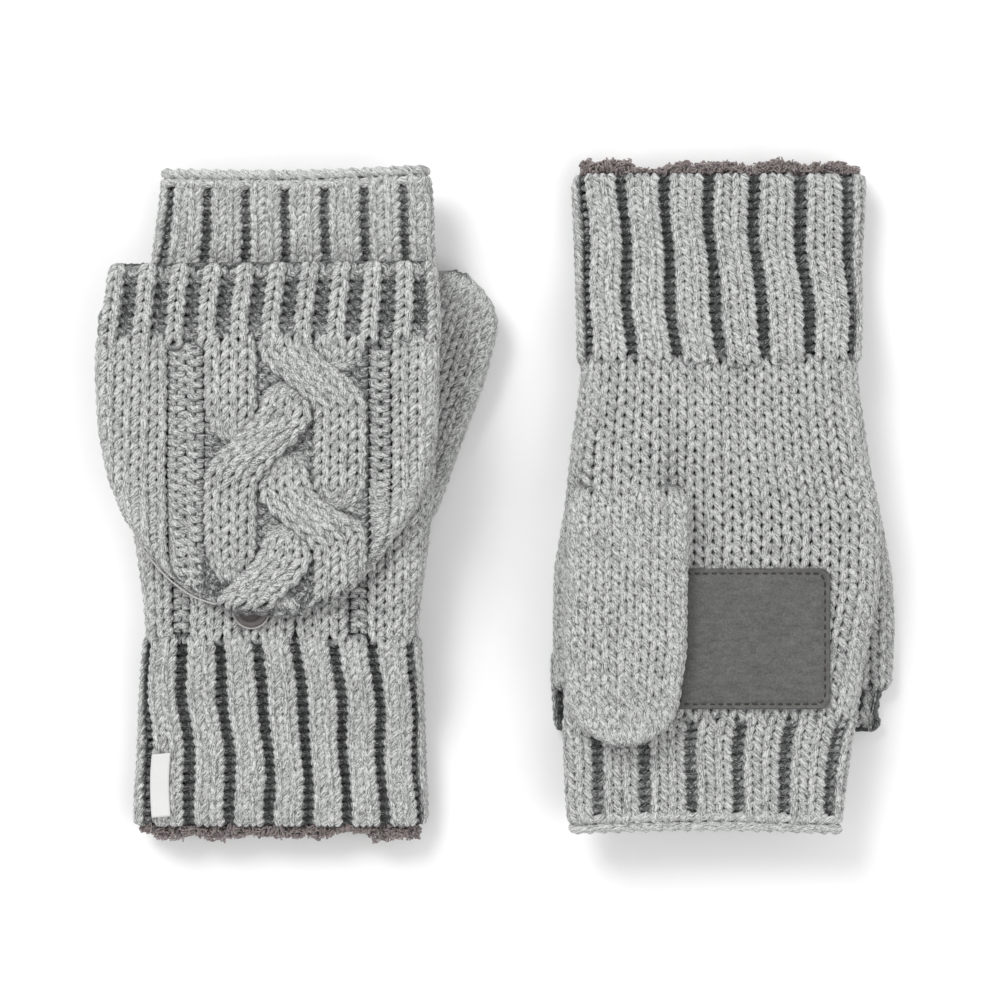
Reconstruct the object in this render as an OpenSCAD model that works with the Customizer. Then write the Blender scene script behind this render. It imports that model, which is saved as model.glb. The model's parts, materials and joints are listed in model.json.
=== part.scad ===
// A pair of convertible flip-top mittens, in millimetres.
// Ribbed cuff, cabled hand with a plush lining, open finger band, a hood folded back over the hand
// with a button and an elastic loop, a side thumb and a leather palm patch.
// X runs across the pair, Y from the left cuff to the left fingertips, and Z up from the table.
// The left mitten lies back up. The right one lies palm up with its fingers the other way, which
// makes it the left one inverted through a point.

/* [Pair] */
// From the middle of the pair to each mitten's centre line
pair_offset = 73.5; // [65:0.5:90]

/* [Hand] */
// Free end of the ribbed cuff
cuff_end_y = -107.5; // [-120:0.5:-90]
// Where the cuff's ribs start
cuff_top_y = -46; // [-60:1:-40]
// Knuckle line, where the hood is sewn on
hinge_y = 62; // [56:1:68]
// Where the finger band's ribs start
hand_end_y = 72; // [68:1:80]
// End of the finger band's ribs
band_end_y = 107.6; // [100:0.2:115]
// Height of the cast-off chain
cast_off_h = 2.6; // [2:0.2:4]
// Half the thickness of the lined hand, lying flat
hand_half_t = 7.6; // [6.5:0.1:9]
// Thickness of the knitted wall
knit_wall = 2.6; // [2:0.1:3]
// Thickness of the plush lining
plush_wall = 1.8; // [1.5:0.1:2.5]
// How far the plush shows past the cuff
plush_show = 3.5; // [1:0.5:6]

/* [Hood] */
// Free mouth edge of the folded hood
mouth_y = 76.6; // [70:0.2:80]
// Tip of the folded hood
tip_y = -34.6; // [-40:0.2:-30]
// Height of the ribbed mouth edge
mouth_rib_h = 24.8; // [18:0.2:30]
// Thickness of the hood, both layers
hood_t = 10; // [9:0.5:12]
// Room between pieces that move against each other
play = 0.3; // [0.2:0.05:0.5]
// Slack between layers sewn to each other
slack = 0.1; // [0.05:0.05:0.2]

/* [Thumb] */
// Length from the swing axis to the tip
thumb_l = 81; // [70:1:90]
// Thickness of the thumb, lying flat
thumb_t = 8.8; // [8:0.2:10]
// Thickness of the thumb's wall
thumb_wall = 2.2; // [2:0.1:2.5]
// Swing axis, across the hand
thumb_x = 31.5; // [28:0.5:35]
// Swing axis, along the hand
thumb_y = -0.5; // [-5:0.5:5]
// How far the left thumb is splayed
left_splay = 20; // [0:1:30]
// How far the right thumb is splayed
right_splay = 1.5; // [0:0.5:10]

/* [Palm patch] */
// Width across the palm
patch_w = 51.6; // [45:0.2:56]
// Length along the palm
patch_l = 46.2; // [40:0.2:50]
// Thickness of the leather
patch_t = 0.9; // [0.6:0.1:1.4]
// Corner radius
patch_r = 5; // [2:0.5:8]
// Distance from stitch to stitch
stitch_pitch = 2.8; // [2:0.1:4]

/* [Button and loop] */
// Button diameter
button_d = 11.3; // [10:0.1:13]
// Button thickness
button_t = 2.4; // [2:0.1:3]
// Radius of the loop's ring, to the cord's middle
loop_r = 6.5; // [6.2:0.1:8]
// Thickness of the loop's cord
loop_d = 0.8; // [0.6:0.1:1.2]

/* [Label] */
// Width of the folded side label
label_w = 5.6; // [5:0.2:10]
// Length of the folded side label
label_l = 20.8; // [15:0.2:30]
// Thickness of the folded side label
label_t = 0.6; // [0.4:0.1:1]

/* [How the pair lies] */
// Roll of the left hand where it lies on its thumb
left_roll = 7; // [0:0.5:10]
// Height of the left hand's mid plane at its centre line
left_lift = 15.5; // [14:0.01:20]
// Height of the right hand's mid plane
right_lift = 17.9; // [16:0.1:20]
// Where the hand starts to sink to the table
sink_y = -44; // [-50:1:-42]
// Length over which it sinks
sink_l = 38; // [20:1:45]

/* [Hidden] */
LEFT = 1;
RIGHT = -1;
ARC_STEPS = 4; // facets in a quarter turn of a knitted side edge
hood_z0 = hand_half_t + play;
hood_mid = hood_z0 + hood_t / 2;
hood_back_end = -24; // the two layers of the hood part here
hood_root_y = hinge_y - play;
patch_z = hand_half_t + patch_t;
stitch_t = 0.3;
thumb_z = -(patch_z + stitch_t + play + thumb_t / 2);
patch_centre = [-8.9, 45.5];
button_at = [-7.1, -36.3];
button_z = hand_half_t + 0.9;
label_at = [-38.9, -94.5];

// [y, x] outlines of a mitten lying flat, seen from its back with the fingers up
hand_lo = [[-107.5, -48.5], [-76, -47], [-46, -45], [-33, -46], [-10, -49.5], [5, -53], [30, -52],
           [56, -47], [72, -44], [76, -42.5], [108, -39]];
hand_hi = [[-107.5, 48.7], [-76, 47.8], [-46, 47], [-33, 48], [-10, 51], [5, 53], [30, 53],
           [56, 53], [72, 52.8], [76, 52.6], [108, 50.2]];
hand_top = [[-107.5, hand_half_t], [57.5, hand_half_t], [61.5, 4.5], [110, 4.5]];
hand_bottom = [[-107.5, -hand_half_t], [68, -hand_half_t], [78, -5.3], [110, -5.3]];
hood_lo = [[-34.6, -12], [-31.4, -25], [-25, -34], [-16.5, -41], [-5, -50], [7, -55], [23, -58],
           [43, -59], [60, -58.5], [76.6, -55]];
hood_hi = [[-34.6, 11], [-31.4, 23], [-25, 31.5], [-16.5, 38], [-5, 46.5], [7, 53], [23, 55.7],
           [43, 56.3], [60, 56.3], [76.6, 55.3]];
hood_half = [[-34.6, 1.3], [-30, 1.7], [-24, 3.4], [-14, 4.6], [-6, 5], [80, 5]];
thumb_half_w = [[-4, 16.5], [4, 19.3], [15, 20.4], [50, 20.5], [64, 19], [72, 15.5],
                [78, 9.5], [81, 3.5]];
thumb_half_t = [[-4, 4], [2, 4.4], [66, 4.4], [76, 3.4], [81, 1.5]];

knit = [0.70, 0.71, 0.70];
plush = [0.53, 0.48, 0.47];
leather = [0.45, 0.45, 0.44];
horn = [0.39, 0.36, 0.36];

// ---- How a mitten lies ----

function ease(t) = t <= 0 ? 0 : t >= 1 ? 1 : t * t * (3 - 2 * t);

// 0 on the hand and 1 on the flat part of the cuff
function sunk(y) = ease((sink_y - y) / sink_l);

function height(side, y) =
  let (high = side == LEFT ? left_lift : right_lift)
  high + (hand_half_t - high) * sunk(y);

function lie_left(p) =
  let (a = left_roll * (1 - sunk(p.y)))
  [p.x * cos(a) - p.z * sin(a) - pair_offset, p.y,
   p.x * sin(a) + p.z * cos(a) + height(LEFT, p.y)];

function lie_right(p) = [pair_offset - p.x, -p.y, height(RIGHT, p.y) - p.z];

function lie(side, p) = side == LEFT ? lie_left(p) : lie_right(p);

// Puts rigid children, drawn on a flat mitten, where that stretch of the mitten lies
module lay(side, y = 0) {
  if (side == LEFT)
    translate([-pair_offset, 0, height(LEFT, y)])
      rotate([0, -left_roll * (1 - sunk(y)), 0]) children();
  else
    translate([pair_offset, 0, height(RIGHT, y)]) multmatrix([
      [-1, 0, 0, 0],
      [0, -1, 0, 0],
      [0, 0, -1, 0],
      [0, 0, 0, 1]
    ]) children();
}

// ---- Sections of a flattened tube: [x, z] points ----

function arc(x, z, r, from, to) =
  [for (i = [0 : ARC_STEPS]) let (a = from + (to - from) * i / ARC_STEPS) [x + r * cos(a), z + r * sin(a)]];

function upper_half(lo, hi, z, r) = concat(arc(lo + r, z, r, 180, 90), arc(hi - r, z, r, 90, 0));

function lower_half(lo, hi, z, r) = [for (p = upper_half(lo, hi, -z, r)) [p.x, -p.y]];

function inner_points(list) = [for (i = [1 : len(list) - 2]) list[i]];

function whole(lo, hi, z, r) =
  let (low = inner_points(lower_half(lo, hi, z, r)), n = len(low))
  concat(upper_half(lo, hi, z, r), [for (i = [0 : n - 1]) low[n - 1 - i]]);

function reversed(list) = [for (i = [len(list) - 1 : -1 : 0]) list[i]];

function at_y(section, y) = [for (p = section) [p.x, y, p.y]];

// ---- Triangles between rings of n points; ring k starts at point k * n ----

function quad(a, b, c, d) = [[a, b, c], [a, c, d]];

function flat(lists) = [for (list = lists) each list];

// Side walls from ring to ring, closing round each ring
function walls(rings, n, first = 0) = flat([
  for (k = [0 : rings - 2], i = [0 : n - 1])
    let (a = first + k * n, j = (i + 1) % n)
    quad(a + i, a + j, a + n + j, a + n + i)
]);

// An end face between two rings of n points
function rim(outer, inner, n) = flat([
  for (i = [0 : n - 1]) let (j = (i + 1) % n) quad(outer + i, inner + i, inner + j, outer + j)
]);

// An end face over one ring
function lid(first, n) = [for (i = [1 : n - 2]) [first, first + i, first + i + 1]];

function turned(faces) = [for (f = faces) [f[2], f[1], f[0]]];

// A solid from flat-lying points; the right mitten is inside out, so its faces turn round
module solid(side, points, faces) {
  polyhedron(
    points = [for (p = points) lie(side, p)],
    faces = side == LEFT ? faces : turned(faces)
  );
}

// A tube open at both ends, from outer and inner rings
module tube(side, outer, inner) {
  n = len(outer[0]);
  k = len(outer);
  m = k * n;
  solid(side, flat(concat(outer, inner)), concat(
    walls(k, n), turned(walls(k, n, m)), rim(0, m, n), turned(rim((k - 1) * n, m + (k - 1) * n, n))
  ));
}

// A panel: half a tube, swept as one closed strip
module panel(side, outer, inner) {
  rings = [for (k = [0 : len(outer) - 1]) concat(outer[k], reversed(inner[k]))];
  half = len(outer[0]);
  n = 2 * half;
  last = (len(rings) - 1) * n;
  end = flat([
    for (i = [0 : half - 2]) quad(i, n - 1 - i, n - 2 - i, i + 1)
  ]);
  solid(side, flat(rings), concat(
    walls(len(rings), n), end, turned([for (f = end) [for (v = f) v + last]])
  ));
}

// ---- Rings of the hand and the hood ----

function hand_mid(y) = (lookup(y, hand_top) + lookup(y, hand_bottom)) / 2;
function hand_r(y) = (lookup(y, hand_top) - lookup(y, hand_bottom)) / 2;

// inset is how far inside the hand's outer surface; half is "whole", "upper" or "lower"
function hand_ring(y, inset, half = "whole") =
  let (lo = lookup(y, hand_lo) + inset, hi = lookup(y, hand_hi) - inset,
       z = hand_mid(y), r = hand_r(y) - inset)
  at_y(half == "whole" ? whole(lo, hi, z, r)
       : half == "upper" ? upper_half(lo, hi, z, r) : lower_half(lo, hi, z, r), y);

function hood_wall(y) = min(knit_wall, lookup(y, hood_half) - 0.6);

function hood_ring(y, inset, half = "whole", shift = 0) =
  let (lo = lookup(y, hood_lo) + inset, hi = lookup(y, hood_hi) - inset,
       z = hood_mid + shift, r = lookup(y, hood_half) - inset - abs(shift))
  at_y(half == "whole" ? whole(lo, hi, z, r)
       : half == "upper" ? upper_half(lo, hi, z, r) : lower_half(lo, hi, z, r), y);

module hand_tube(side, stations, outer, inner) {
  tube(side, [for (y = stations) hand_ring(y, outer)], [for (y = stations) hand_ring(y, inner)]);
}

hand_stations = [cuff_top_y, -33, -10, 5, 30, 57.5, 61.5, 68, hand_end_y];
cuff_stations = [cuff_end_y, -100, -82, -76, -70, -64, -58, -52, cuff_top_y];
lining_stations = [cuff_end_y - plush_show, -100, -82, -76, -70, -64, -58, -52, -46, -33, -10, 5, 30, 56.5];

// ---- Sub-parts ----

module back_panel(side) {
  color(knit) panel(side, [for (y = hand_stations) hand_ring(y, 0, "upper")],
                    [for (y = hand_stations) hand_ring(y, knit_wall, "upper")]);
}

module palm_panel(side) {
  color(knit) panel(side, reversed([for (y = hand_stations) hand_ring(y, 0, "lower")]),
                    reversed([for (y = hand_stations) hand_ring(y, knit_wall, "lower")]));
}

module cuff(side) {
  color(knit) hand_tube(side, cuff_stations, 0, knit_wall);
}

module lining(side) {
  color(plush) hand_tube(side, lining_stations, knit_wall + slack, knit_wall + plush_wall);
}

module finger_band(side) {
  color(knit) hand_tube(side, [hand_end_y, 78, 92, band_end_y], 0, knit_wall);
}

module cast_off(side) {
  color(knit) hand_tube(side, [band_end_y, band_end_y + cast_off_h], 0, knit_wall);
}

function thumb_ring(y, inset, splay) =
  let (w = lookup(y, thumb_half_w) - inset, r = lookup(y, thumb_half_t) - inset)
  [for (p = whole(-w, w, thumb_z, r))
    [thumb_x + p.x * cos(splay) + y * sin(splay), thumb_y - p.x * sin(splay) + y * cos(splay), p.y]];

// A tube with a closed tip, open where it joins the hand
module thumb(side) {
  splay = side == LEFT ? left_splay : right_splay;
  outer = [for (y = [-4, 4, 15, 50, 64, 72, 78, thumb_l]) thumb_ring(y, 0, splay)];
  inner = [for (y = [-4, 4, 15, 50, 64, 71]) thumb_ring(y, thumb_wall, splay)];
  n = len(outer[0]);
  m = len(outer) * n;
  last = m + (len(inner) - 1) * n;
  color(knit) solid(side, flat(concat(outer, inner)), concat(
    walls(len(outer), n), turned(walls(len(inner), n, m)), rim(0, m, n), lid(m - n, n), turned(lid(last, n))
  ));
}

module hood_back(side) {
  stations = [hood_back_end, -14, -6, 7, 23, 43, hood_root_y];
  color(knit)
    panel(side, reversed([for (y = stations) hood_ring(y, 0, "lower", -play / 2)]),
          reversed([for (y = stations) hood_ring(y, hood_wall(y), "lower", -play / 2)]));
}

module hood_tip(side) {
  rings = [for (y = [tip_y, -31.4, hood_back_end - 0.05]) hood_ring(y, 0)];
  n = len(rings[0]);
  color(knit) solid(side, flat(rings), concat(walls(3, n), turned(lid(0, n)), lid(2 * n, n)));
}

module hood_upper(side, stations) {
  color(knit) panel(side, [for (y = stations) hood_ring(y, 0, "upper", play / 2)],
                    [for (y = stations) hood_ring(y, hood_wall(y), "upper", play / 2)]);
}

module hood_front(side) {
  hood_upper(side, [hood_back_end + play, -14, -6, 7, 23, 43, mouth_y - mouth_rib_h]);
}

module mouth_rib(side) {
  hood_upper(side, [mouth_y - mouth_rib_h, 60, mouth_y]);
}

module rounded_plate(w, l, r) {
  square([w - 2 * r, l], center = true);
  square([w, l - 2 * r], center = true);
  for (x = [-1, 1], y = [-1, 1])
    translate([x * (w / 2 - r), y * (l / 2 - r)]) circle(r = r, $fn = 32);
}

module palm_patch(side) {
  color(leather) lay(side) translate([patch_centre.x, patch_centre.y, -patch_z])
    linear_extrude(patch_t) rounded_plate(patch_w, patch_l, patch_r);
}

// A straight row of stitches, centred, along X
module stitch_row(length) {
  count = floor(length / stitch_pitch);
  for (i = [0 : count - 1])
    translate([(i - (count - 1) / 2) * stitch_pitch, 0, 0])
      cube([stitch_pitch * 0.7, 0.6, stitch_t], center = true);
}

module patch_stitches(side) {
  edge = 1.7;
  color([0.22, 0.17, 0.15]) lay(side)
    translate([patch_centre.x, patch_centre.y, -patch_z - stitch_t / 2])
      for (s = [-1, 1]) {
        translate([0, s * (patch_l / 2 - edge), 0]) stitch_row(patch_w - 2 * patch_r);
        translate([s * (patch_w / 2 - edge), 0, 0]) rotate([0, 0, 90]) stitch_row(patch_l - 2 * patch_r);
      }
}

module button(side) {
  color(horn) lay(side) translate([button_at.x, button_at.y, button_z]) rotate_extrude($fn = 96)
    polygon([
      [1.3, 0.3], [button_d / 2 - 1.2, 0], [button_d / 2 - 0.3, 0.5], [button_d / 2, button_t / 2],
      [button_d / 2 - 0.4, button_t - 0.3], [button_d / 2 - 1.1, button_t],
      [button_d / 2 - 1.7, button_t - 0.1],
      [button_d / 2 - 2.3, button_t - 0.8], [1.3, button_t - 0.9]
    ]);
}

module button_thread(side) {
  color([0.72, 0.70, 0.67]) lay(side) translate([button_at.x, button_at.y, hand_half_t + slack / 2]) {
    cylinder(h = 2.55, r = 1, $fn = 32);
    translate([0, 0, 2.55]) cylinder(h = 0.6, r1 = 1.7, r2 = 1, $fn = 32);
  }
}

module loop(side) {
  color([0.80, 0.79, 0.77]) lay(side) translate([button_at.x, button_at.y, hand_half_t + loop_d / 2 + 0.05]) {
    rotate_extrude($fn = 64) translate([loop_r, 0]) circle(d = loop_d, $fn = 16);
    translate([0, loop_r, 0]) cylinder(h = 2.6, d = loop_d, $fn = 16);
  }
}

module label(side) {
  color([0.93, 0.93, 0.92]) lay(side, label_at.y)
    translate([label_at.x, label_at.y, hand_half_t + label_t / 2]) rotate([0, 0, -2])
      cube([label_w, label_l, label_t], center = true);
}

module left_back_panel() { back_panel(LEFT); }
module left_palm_panel() { palm_panel(LEFT); }
module left_cuff() { cuff(LEFT); }
module left_lining() { lining(LEFT); }
module left_finger_band() { finger_band(LEFT); }
module left_cast_off() { cast_off(LEFT); }
module left_thumb() { thumb(LEFT); }
module left_hood_back() { hood_back(LEFT); }
module left_hood_tip() { hood_tip(LEFT); }
module left_hood_front() { hood_front(LEFT); }
module left_mouth_rib() { mouth_rib(LEFT); }
module left_palm_patch() { palm_patch(LEFT); }
module left_patch_stitches() { patch_stitches(LEFT); }
module left_button() { button(LEFT); }
module left_button_thread() { button_thread(LEFT); }
module left_loop() { loop(LEFT); }
module left_label() { label(LEFT); }
module right_back_panel() { back_panel(RIGHT); }
module right_palm_panel() { palm_panel(RIGHT); }
module right_cuff() { cuff(RIGHT); }
module right_lining() { lining(RIGHT); }
module right_finger_band() { finger_band(RIGHT); }
module right_cast_off() { cast_off(RIGHT); }
module right_thumb() { thumb(RIGHT); }
module right_hood_back() { hood_back(RIGHT); }
module right_hood_tip() { hood_tip(RIGHT); }
module right_hood_front() { hood_front(RIGHT); }
module right_mouth_rib() { mouth_rib(RIGHT); }
module right_palm_patch() { palm_patch(RIGHT); }
module right_patch_stitches() { patch_stitches(RIGHT); }
module right_button() { button(RIGHT); }
module right_button_thread() { button_thread(RIGHT); }
module right_loop() { loop(RIGHT); }
module right_label() { label(RIGHT); }

left_back_panel();
left_palm_panel();
left_cuff();
left_lining();
left_finger_band();
left_cast_off();
left_thumb();
left_hood_back();
left_hood_tip();
left_hood_front();
left_mouth_rib();
left_palm_patch();
left_patch_stitches();
left_button();
left_button_thread();
left_loop();
left_label();
right_back_panel();
right_palm_panel();
right_cuff();
right_lining();
right_finger_band();
right_cast_off();
right_thumb();
right_hood_back();
right_hood_tip();
right_hood_front();
right_mouth_rib();
right_palm_patch();
right_patch_stitches();
right_button();
right_button_thread();
right_loop();
right_label();
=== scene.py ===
"""A pair of convertible flip-top mittens, knitted stitch by stitch over the CAD shells.

Shapes are worked out on a flat mitten seen from its back, with the fingers towards +Y, in
millimetres. lie() then puts them where the left or the right mitten lies, in metres.
"""

import json
from math import cos, pi, radians, sin, tau

import bpy
import numpy as np
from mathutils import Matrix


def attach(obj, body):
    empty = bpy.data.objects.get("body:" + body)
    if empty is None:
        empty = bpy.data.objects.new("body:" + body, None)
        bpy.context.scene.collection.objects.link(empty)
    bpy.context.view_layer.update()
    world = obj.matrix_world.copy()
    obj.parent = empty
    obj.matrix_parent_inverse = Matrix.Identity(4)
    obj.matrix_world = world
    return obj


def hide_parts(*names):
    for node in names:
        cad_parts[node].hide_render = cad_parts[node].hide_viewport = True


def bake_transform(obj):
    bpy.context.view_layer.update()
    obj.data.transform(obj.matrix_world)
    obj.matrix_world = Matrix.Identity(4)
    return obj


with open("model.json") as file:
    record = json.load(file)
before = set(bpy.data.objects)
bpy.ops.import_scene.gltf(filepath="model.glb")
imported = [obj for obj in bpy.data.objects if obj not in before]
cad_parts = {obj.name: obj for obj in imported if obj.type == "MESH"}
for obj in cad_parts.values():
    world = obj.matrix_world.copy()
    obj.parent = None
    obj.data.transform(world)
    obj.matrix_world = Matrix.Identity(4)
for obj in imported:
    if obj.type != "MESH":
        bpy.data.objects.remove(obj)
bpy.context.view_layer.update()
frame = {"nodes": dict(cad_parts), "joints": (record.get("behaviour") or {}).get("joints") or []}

MM = 0.001
SIDES = ("left", "right")
JOINTS = {j["name"]: j for j in frame["joints"]}
random = np.random.default_rng(41)

# ---- How the pair lies ----

HINGE_Y = 62.0  # the knuckle line, where the hood is sewn on
HINGE_Z = 7.75  # its height over the mitten's mid plane
CUFF_LIFT = 7.6  # height of the cuff's mid plane over the table
SINK_Y = -44.0  # where the hand starts to sink to the table
SINK_L = 38.0  # length over which it sinks


def resting_place(side):
    """(x of the mitten's centre line, height of its mid plane, roll), from where its hood is hinged."""
    joint = JOINTS[f"{side}_hood_turn"]
    x, _, z = (v / MM for v in joint["pos_m"])
    if side == "right":
        return x, z + HINGE_Z, 0.0
    roll = float(np.arctan2(-joint["axis"][2], -joint["axis"][0]))
    return x + HINGE_Z * sin(roll), z - HINGE_Z * cos(roll), roll


PLACE = {side: resting_place(side) for side in SIDES}


def ease(t):
    """A smooth step from 0 to 1."""
    t = np.clip(t, 0, 1)
    return t * t * (3 - 2 * t)


def sunk(y):
    """How far a mitten has sunk from the hand's height to the cuff's, 0 to 1."""
    return ease((SINK_Y - y) / SINK_L)


def lie(side, p):
    """Points of a flat mitten, in millimetres, to the row frame, in metres."""
    p = np.asarray(p, float)
    x, y, z = p[..., 0], p[..., 1], p[..., 2]
    centre, high, roll = PLACE[side]
    lift = high + (CUFF_LIFT - high) * sunk(y)
    if side == "right":
        return np.stack([centre - x, -y, lift - z], -1) * MM
    a = roll * (1 - sunk(y))
    across = x * np.cos(a) - z * np.sin(a) + centre
    up = x * np.sin(a) + z * np.cos(a) + lift
    return np.stack([across, y, up], -1) * MM


def unlie(side, p):
    """The way back from lie()."""
    x, y, z = (np.asarray(p, float) / MM).T
    centre, high, roll = PLACE[side]
    if side == "right":
        lift = high + (CUFF_LIFT - high) * sunk(-y)
        return np.stack([centre - x, -y, lift - z], -1)
    a = roll * (1 - sunk(y))
    x, z = x - centre, z - high - (CUFF_LIFT - high) * sunk(y)
    return np.stack([x * np.cos(a) + z * np.sin(a), y, z * np.cos(a) - x * np.sin(a)], -1)


# ---- Outlines, read from the CAD shells ----


def cad_points(node, side="left"):
    """A CAD node's points, brought back to the flat mitten."""
    mesh = frame["nodes"][f"{side}_{node}"].data
    co = np.empty(len(mesh.vertices) * 3)
    mesh.vertices.foreach_get("co", co)
    return unlie(side, co.reshape(-1, 3))


def stations(points):
    """(y, lowest x, highest x, lowest z, highest z) of each ring of a shell."""
    rounded = np.round(points[:, 1], 1)
    rows = []
    for y in np.unique(rounded):
        ring = points[rounded == y]
        rows.append((y, ring[:, 0].min(), ring[:, 0].max(), ring[:, 2].min(), ring[:, 2].max()))
    return np.array(rows)


def softened(values, reach):
    """A profile with its corners rounded off."""
    window = np.hanning(2 * reach + 1)
    padded = np.concatenate([np.full(reach, values[0]), values, np.full(reach, values[-1])])
    return np.convolve(padded, window / window.sum(), "valid")


class Half:
    """The upper (face 1) or lower (face -1) half of a flattened tube.

    A place on it is xi, the distance round the half from its middle line, y along the tube,
    and depth below the outer surface.
    """

    STEP = 0.5  # between the stored stations
    THINNEST = 3.3  # least half thickness, so that yarn isn't turned inside out at the tips

    def __init__(self, wide, deep, face, reach=8):
        self.face = face
        self.y = np.arange(wide[0, 0], wide[-1, 0] + self.STEP, self.STEP)
        self.lo = softened(np.interp(self.y, wide[:, 0], wide[:, 1]), reach)
        self.hi = softened(np.interp(self.y, wide[:, 0], wide[:, 2]), reach)
        low = np.interp(self.y, deep[:, 0], deep[:, 1])
        high = np.interp(self.y, deep[:, 0], deep[:, 2])
        self.mid = (low + high) / 2
        self.r = np.maximum((high - low) / 2, self.THINNEST)

    def profile(self, y):
        """Lowest x, highest x, mid height and half thickness at y."""
        return [np.interp(y, self.y, v) for v in (self.lo, self.hi, self.mid, self.r)]

    def reach(self, y):
        """How far xi goes at y, both ways."""
        lo, hi, _, r = self.profile(y)
        return lo + r - r * pi / 2, hi - r + r * pi / 2

    def place(self, xi, y, depth):
        """Points and their outward normals."""
        lo, hi, mid, r = self.profile(y)
        angle = np.where(xi > hi - r, (xi - hi + r) / r, np.where(xi < lo + r, (xi - lo - r) / r, 0))
        angle = np.clip(angle, -pi / 1.9, pi / 1.9)
        flat_x = np.clip(xi, lo + r, hi - r)
        normal = np.stack([np.sin(angle), np.zeros_like(angle), self.face * np.cos(angle)], -1)
        out = np.maximum(r - depth, 0.2)[..., None] * normal
        return np.stack([flat_x, y, mid], -1) + out, normal


def outline(upper, lower):
    """A flat tube's widths and its z range, from the CAD shells of its upper and its lower layer."""
    top = stations(np.vstack([cad_points(n) for n in upper]))
    bottom = stations(np.vstack([cad_points(n) for n in lower]))
    low = np.interp(top[:, 0], bottom[:, 0], bottom[:, 3])
    return top[:, [0, 1, 2]], np.stack([top[:, 0], low, top[:, 4]], -1)


RIBBED_ENDS = ["cuff", "finger_band", "cast_off"]
HAND_WIDE, HAND_DEEP = outline(RIBBED_ENDS + ["back_panel"], RIBBED_ENDS + ["palm_panel"])
HOOD_WIDE, HOOD_DEEP = outline(["hood_tip", "hood_front", "mouth_rib"], ["hood_tip", "hood_back"])

back = Half(HAND_WIDE, HAND_DEEP, 1)
palm = Half(HAND_WIDE, HAND_DEEP, -1)
hood_top = Half(HOOD_WIDE, HOOD_DEEP, 1, reach=6)
hood_under = Half(HOOD_WIDE, HOOD_DEEP, -1, reach=6)

# ---- Yarn ----

YARN_R = 1.38
YARN_FLAT = 0.9  # a strand's height over its width
ROW = 3.75  # from course to course
RIB_ROW = 2.85  # the same in the ribbing, which draws in
LOOP_H = 0.84  # half a loop's height, in rows
LOOP_A = 1.5  # how far a loop's legs lean
LOOP_D = 0.78  # half the distance between the fabric's faces
POINTS = 12  # curve points in a stitch
AROUND = 7  # sides of the yarn's tube
BACKING_SHADE = 4.0  # how deep the inner faces count as, for their shade
TWIST = 0.5  # radians a millimetre
PLY = 0.05  # how far the two plies stand out
PRESS = 0.0012  # metres above the table where wool starts to flatten
EDGE = 2.2  # how far loops may reach past a curved outline, to be turned over it

# (waves along x, waves along y, phase) of each part of the uneven field
WAVES = [(0.031, 0.043, 1.1), (0.057, -0.024, 2.7), (-0.083, 0.061, 4.2), (0.11, 0.13, 0.6)]


def wander(x, y, seed=0.0):
    """A smooth uneven field between about -1 and 1."""
    return sum(np.sin(a * x + b * y + c + seed * (k + 1)) for k, (a, b, c) in enumerate(WAVES)) / 2.6


class Columns:
    """The stitch columns of one knitted block: +1 knit or -1 purl, widths and depths.

    shade says how much painted shade darkens sunken columns.
    """

    def __init__(self, kinds, widths, depths, shade=0.2):
        self.kind = np.array(kinds, float)
        self.width = np.array(widths, float)
        self.depth = np.array(depths, float)
        self.shade = shade

    def fitted(self, low, high):
        """Edges spread over low to high."""
        edges = np.concatenate([[0], np.cumsum(self.width)])
        return low + edges / edges[-1] * (high - low)


def plain(count):
    """Stockinette."""
    return Columns([1] * count, [1] * count, [0] * count)


def ribbed(count, knits=2, gutter=0.68, sink=2.7, start=0, puff=0.0, shade=1.3):
    """count columns of ribbing, knits knit and one purl in turn; puff raises the ribs' middles."""
    kinds, widths, depths = [], [], []
    for i in range(count):
        place = (i + start) % (knits + 1)
        is_knit = place < knits
        crown = 0.45 * abs(place - (knits - 1) / 2) - puff
        kinds.append(1 if is_knit else -1)
        widths.append(1 if is_knit else gutter)
        depths.append(crown if is_knit else sink)
    return Columns(kinds, widths, depths, shade)


def stepped(along, middles, plateau, values):
    """Values that hold round each column's middle and slope from one column to the next."""
    steps = np.concatenate([middles - plateau, middles + plateau])
    order = np.argsort(steps, kind="stable")
    return np.interp(along, steps[order], np.tile(values, 2)[order])


def course(edges, columns, rng, points, row):
    """One row of loops over column edges: xi, y from the row's line, depth, and depth of its own."""
    count = len(columns.kind)
    t = np.linspace(-pi, pi, points, endpoint=False)
    t = np.concatenate([np.tile(t, count), [pi]])
    col = np.concatenate([np.repeat(np.arange(count), points), [count - 1]])
    centre = (edges[:-1] + edges[1:]) / 2
    width = np.diff(edges)
    xi = centre[col] + width[col] / tau * (t + LOOP_A * np.sin(2 * t))
    along = col + (t + pi) / tau
    middles = np.arange(count) + 0.5
    kind = stepped(along, middles, 0.28, columns.kind)
    sink = stepped(along, middles, 0.3, columns.depth)
    slack = 1 + 0.07 * rng.standard_normal(count)
    y = LOOP_H * row * np.cos(t) * slack[col]
    own_depth = YARN_R + LOOP_D * (1 + kind * np.cos(2 * t))
    xi = xi + 0.10 * rng.standard_normal(count)[col] * (0.4 + 0.6 * np.cos(t / 2))
    return xi, y, own_depth + sink, own_depth


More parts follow.
